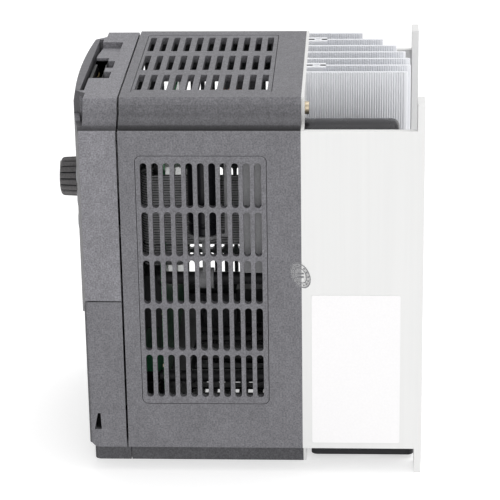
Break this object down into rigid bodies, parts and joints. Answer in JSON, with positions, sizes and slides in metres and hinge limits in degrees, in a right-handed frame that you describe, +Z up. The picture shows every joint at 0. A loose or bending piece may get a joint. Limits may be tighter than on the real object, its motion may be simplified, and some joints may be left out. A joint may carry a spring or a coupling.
{
  "type": "variable frequency drive",
  "caption": "Wall-mounted motor drive with slotted vents, a plug-in keypad with a fluted speed knob, a removable terminal cover, and a finned heatsink bay between wall brackets.",
  "frame": {"origin": "centre of the four wall holes, on the plane of the wall", "axes": "+X to the drive's right side, +Y back to the wall, +Z up"},
  "size_m": [0.1402, 0.1785, 0.186],
  "materials": {
    "housing_plastic": "fine spark-eroded texture",
    "cover_plastic": "fine spark-eroded texture",
    "keypad_plastic": "fine matt",
    "knob_plastic": "satin, fluted",
    "button_plastic": "satin",
    "run_green": "satin",
    "stop_red": "satin",
    "black_plastic": "satin",
    "grey_plastic": "matt",
    "white_plastic": "matt",
    "green_plastic": "matt",
    "window": "dark red, clear",
    "lens_green": "clear",
    "pcb": "solder mask",
    "aluminium": "brushed sheet",
    "aluminium_fin": "extruded, ribbed",
    "steel": "zinc plated",
    "brass": "gilt contacts",
    "copper": "enamelled copper",
    "ferrite": "fired",
    "cap_sleeve": "shrink sleeve",
    "rubber": "matt",
    "paper": "blank label",
    "foil": "seal sticker"
  },
  "bodies": {
    "chassis": {"housing": "housing_plastic", "right_vent_panel": "housing_plastic", "left_vent_panel": "housing_plastic", "top_vent_panel": "housing_plastic", "front_cover": "cover_plastic", "entry_tray": "cover_plastic", "cable_grommets": "rubber", "service_port": "black_plastic", "screws": "steel", "control_board": "pcb", "control_chips": "black_plastic", "control_terminals": "green_plastic", "board_posts": "black_plastic", "power_board": "pcb", "power_module": "black_plastic", "rectifier_bridge": "black_plastic", "precharge_relay": "white_plastic", "transformer_core": "ferrite", "transformer_winding": "copper", "ribbon_cable": "grey_plastic", "ribbon_sockets": "black_plastic", "film_capacitor": "grey_plastic", "filter_capacitor": "cap_sleeve", "capacitor_cradle": "grey_plastic", "choke_core": "ferrite", "choke_winding": "copper", "choke_shelf": "grey_plastic", "main_terminals": "black_plastic", "terminal_screws": "steel", "busbars": "black_plastic", "terminal_shelf": "grey_plastic", "link_capacitors": "cap_sleeve", "heatsink_base": "aluminium", "heatsink_fins": "aluminium_fin", "right_side_plate": "aluminium", "left_side_plate": "aluminium", "fan_tray": "steel", "fan_frames": "black_plastic", "rating_label": "paper", "inspection_seal": "foil"},
    "knob": {"speed_knob": "knob_plastic", "potentiometer_shaft": "brass"},
    "keypad": {"keypad_case": "keypad_plastic", "keypad_back": "black_plastic", "keypad_board": "pcb", "display_window": "window", "digit_display": "black_plastic", "status_lamps": "lens_green", "potentiometer": "steel"},
    "terminal_cover": {"terminal_cover": "cover_plastic"},
    "left_rotor": {"left_fan_rotor": "black_plastic"},
    "right_rotor": {"right_fan_rotor": "black_plastic"},
    "run_key": {"run_button": "run_green"},
    "stop_key": {"stop_button": "stop_red"},
    "up_key": {"up_button": "button_plastic"},
    "down_key": {"down_button": "button_plastic"},
    "enter_key": {"enter_button": "button_plastic"},
    "menu_key": {"menu_button": "button_plastic"},
    "shift_key": {"shift_button": "button_plastic"},
    "jog_key": {"jog_button": "button_plastic"}
  },
  "joints": [
    {"name": "keypad_pull", "type": "slide", "parent": "chassis", "child": "keypad", "axis": [0, -1, 0], "range_m": [0, 0.03]},
    {"name": "cover_pull", "type": "slide", "parent": "chassis", "child": "terminal_cover", "axis": [0, -1, 0], "range_m": [0, 0.04]},
    {"name": "knob_turn", "type": "hinge", "parent": "keypad", "child": "knob", "pos_m": [0, -0.17, 0.0345], "axis": [0, -1, 0], "range_deg": [-150, 150]},
    {"name": "left_rotor_spin", "type": "hinge", "parent": "chassis", "child": "left_rotor", "pos_m": [-0.0295, -0.0282, -0.083], "axis": [0, 0, 1], "continuous": true},
    {"name": "right_rotor_spin", "type": "hinge", "parent": "chassis", "child": "right_rotor", "pos_m": [0.0295, -0.0282, -0.083], "axis": [0, 0, 1], "continuous": true},
    {"name": "run_press", "type": "slide", "parent": "keypad", "child": "run_key", "axis": [0, 1, 0], "range_m": [0, 0.0008], "stiffness_N_per_m": 800, "springref_m": -0.0006},
    {"name": "stop_press", "type": "slide", "parent": "keypad", "child": "stop_key", "axis": [0, 1, 0], "range_m": [0, 0.0008], "stiffness_N_per_m": 800, "springref_m": -0.0006},
    {"name": "up_press", "type": "slide", "parent": "keypad", "child": "up_key", "axis": [0, 1, 0], "range_m": [0, 0.0008], "stiffness_N_per_m": 800, "springref_m": -0.0006},
    {"name": "down_press", "type": "slide", "parent": "keypad", "child": "down_key", "axis": [0, 1, 0], "range_m": [0, 0.0008], "stiffness_N_per_m": 800, "springref_m": -0.0006},
    {"name": "enter_press", "type": "slide", "parent": "keypad", "child": "enter_key", "axis": [0, 1, 0], "range_m": [0, 0.0008], "stiffness_N_per_m": 800, "springref_m": -0.0006},
    {"name": "menu_press", "type": "slide", "parent": "keypad", "child": "menu_key", "axis": [0, 1, 0], "range_m": [0, 0.0008], "stiffness_N_per_m": 800, "springref_m": -0.0006},
    {"name": "shift_press", "type": "slide", "parent": "keypad", "child": "shift_key", "axis": [0, 1, 0], "range_m": [0, 0.0008], "stiffness_N_per_m": 800, "springref_m": -0.0006},
    {"name": "jog_press", "type": "slide", "parent": "keypad", "child": "jog_key", "axis": [0, 1, 0], "range_m": [0, 0.0008], "stiffness_N_per_m": 800, "springref_m": -0.0006}
  ]
}
